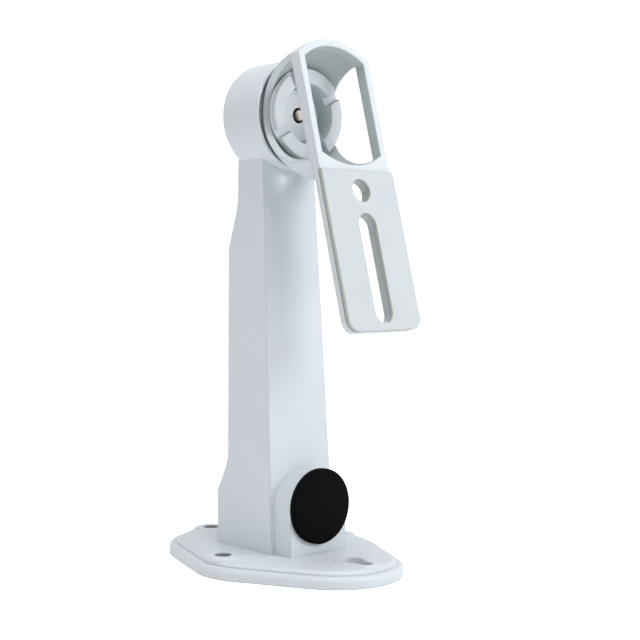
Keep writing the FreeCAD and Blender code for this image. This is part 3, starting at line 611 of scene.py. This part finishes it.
def make_clamp_disc(material):
    """The clamp cup with a steep dish and a cross of notches in its face."""
    section = cup_section()
    bm = bmesh.new()
    rings = []
    for step in range(CUP_STEPS):
        angle = 2.0 * math.pi * step / CUP_STEPS
        rings.append([
            bm.verts.new((off * math.cos(angle), BALL_CENTRE[1] + back, BOLT_AXIS_Z + off * math.sin(angle)))
            for back, off in section
        ])
    for step in range(CUP_STEPS):
        ring = rings[step]
        following = rings[(step + 1) % CUP_STEPS]
        for i in range(len(section)):
            j = (i + 1) % len(section)
            bm.faces.new((ring[i], ring[j], following[j], following[i]))
    bmesh.ops.recalc_face_normals(bm, faces=bm.faces)
    piece = new_object("clamp_disc", bm)

    centre = Vector((0.0, BALL_CENTRE[1] + CUP_FACE, BOLT_AXIS_Z))
    reach = CUTTER_FAR
    half = CUP_SLOT_WIDTH / 2
    cutters = []
    for angle in CUP_SLOT_ANGLES:
        place = Matrix.Translation(centre) @ Matrix.Rotation(math.radians(-angle), 4, "Y")
        cutters.append(block("slot", (-reach, -0.001, -half), (reach, CUP_SLOT_DEPTH, half), place))
    cut_out(piece, cutters, smooth_angle=28.0)
    dress(piece, material)
    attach(piece, "cup")
    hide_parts("clamp_cup")


def make_clamp_screw(material):
    """The clamp bolt with its end up to the dish's floor."""
    piece = copied_node("clamp_screw", "clamp_bolt")
    for vertex in piece.data.vertices:
        if vertex.co.y < BOLT_END_RING:
            vertex.co.y -= BOLT_REACH
    dress(piece, material)
    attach(piece, "arm")
    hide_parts("clamp_bolt")


def dress_all():
    dress(nodes["arm_casting"], arm_coat("arm_coat", COAT))
    make_head_shell(shell_coat("shell_coat", tinted(COAT, 0.97)))
    make_clamp_disc(cup_coat("disc_coat", tinted(COAT, 0.92)))
    make_clamp_screw(bolt_steel("screw_oxide"))
    dress(nodes["grip_pad"], pad_rubber("grip_rubber", PAD_SKIN))
    dress(nodes["cable_plug"], plug_rubber("plug_rubber", PLUG_BLACK))
    dress(nodes["flat_washer"], plated_steel("washer_zinc", WASHER_ZINC, rough=0.32))
    dress(nodes["spring_washer"], plated_steel("spring_steel", SPRING_STEEL, rough=0.34))


# Floor, backdrop and light

STAGE_HALF_WIDTH = 3.0
STAGE_FRONT = -2.5
STAGE_CURVE_START = 1.6
STAGE_CURVE_RADIUS = 0.6
STAGE_CURVE_STEPS = 12
STAGE_TOP = 3.0
STAGE_DROP = 0.0001
STAGE_GLOW = 0.62
UNDER_BASE_HALF_WIDTH = 0.031
UNDER_BASE_HALF_LENGTH = 0.046
WORLD_STRENGTH = 0.32
LAMP_TARGET = Vector((0.0, 0.0, 0.09))


def stage_material():
    """White to the camera and in reflections, except under the base. It takes the object's shadow."""
    shader = Shader("stage_white")
    shader.surface.inputs["Base Color"].default_value = STAGE_WHITE
    shader.surface.inputs["Roughness"].default_value = 0.9
    shader.surface.inputs["Specular IOR Level"].default_value = 0.0
    path = shader.node("ShaderNodeLightPath")
    seen = shader.either(path.outputs["Is Camera Ray"], path.outputs["Is Glossy Ray"])
    aside = shader.calc("DIVIDE", shader.along(ASIDE), UNDER_BASE_HALF_WIDTH)
    length = shader.calc("DIVIDE", shader.along(BACKWARD), UNDER_BASE_HALF_LENGTH)
    out = shader.calc("ADD", shader.both(aside, aside), shader.both(length, length))
    clear_of_base = shader.above(out, 0.9, 0.1)
    glow = shader.both(shader.both(seen, clear_of_base), STAGE_GLOW)
    shader.surface.inputs["Emission Color"].default_value = WHITE
    shader.link(glow, shader.surface.inputs["Emission Strength"])
    return shader.material


def make_stage():
    """One curved sheet: floor in front, backdrop behind."""
    profile = [(STAGE_FRONT, 0.0), (STAGE_CURVE_START, 0.0)]
    for step in range(1, STAGE_CURVE_STEPS + 1):
        angle = math.pi / 2 * step / STAGE_CURVE_STEPS
        out = STAGE_CURVE_START + STAGE_CURVE_RADIUS * math.sin(angle)
        profile.append((out, STAGE_CURVE_RADIUS * (1.0 - math.cos(angle))))
    profile.append((STAGE_CURVE_START + STAGE_CURVE_RADIUS, STAGE_TOP))
    away = -direction(VIEW_AZIMUTH, 0.0)
    aside = VIEW_RIGHT * STAGE_HALF_WIDTH
    bm = bmesh.new()
    rows = []
    for out, up in profile:
        middle = away * out + Vector((0.0, 0.0, up - STAGE_DROP))
        rows.append([bm.verts.new(middle - aside), bm.verts.new(middle + aside)])
    for low, high in zip(rows, rows[1:]):
        face = bm.faces.new((low[0], low[1], high[1], high[0]))
        face.smooth = True
    floor = new_object("floor", bm)
    dress(floor, stage_material())


def area_light(name, azimuth, elevation, distance, size, watts):
    """A round lamp that faces the object, at angles in degrees."""
    data = bpy.data.lights.new(name, "AREA")
    data.shape = "DISK"
    data.size = size
    data.energy = watts
    lamp = add_to_scene(name, data)
    towards = direction(math.radians(azimuth), math.radians(elevation))
    lamp.location = LAMP_TARGET + towards * distance
    lamp.rotation_euler = towards.to_track_quat("Z", "Y").to_euler()


def make_world():
    """A grey surrounding light that the camera and reflections see as white."""
    world = bpy.data.worlds.new("studio")
    bpy.context.scene.world = world
    world.use_nodes = True
    tree = world.node_tree
    tree.nodes.clear()
    output = tree.nodes.new("ShaderNodeOutputWorld")
    background = tree.nodes.new("ShaderNodeBackground")
    background.inputs["Color"].default_value = WHITE
    path = tree.nodes.new("ShaderNodeLightPath")
    seen = tree.nodes.new("ShaderNodeMath")
    seen.operation = "MAXIMUM"
    tree.links.new(path.outputs["Is Camera Ray"], seen.inputs[0])
    tree.links.new(path.outputs["Is Glossy Ray"], seen.inputs[1])
    level = tree.nodes.new("ShaderNodeMapRange")
    level.inputs["To Min"].default_value = WORLD_STRENGTH
    level.inputs["To Max"].default_value = 1.0
    tree.links.new(seen.outputs["Value"], level.inputs["Value"])
    tree.links.new(level.outputs["Result"], background.inputs["Strength"])
    tree.links.new(background.outputs["Background"], output.inputs["Surface"])


def make_light():
    make_world()
    area_light("key", azimuth=28.0, elevation=22.0, distance=1.2, size=0.55, watts=6.9)
    area_light("top", azimuth=-20.0, elevation=80.0, distance=1.3, size=0.9, watts=11.5)
    area_light("fill", azimuth=-88.0, elevation=14.0, distance=1.3, size=0.9, watts=3.1)


make_camera()
make_stage()
make_light()
dress_all()

scene = bpy.context.scene
scene.view_settings.view_transform = "Standard"
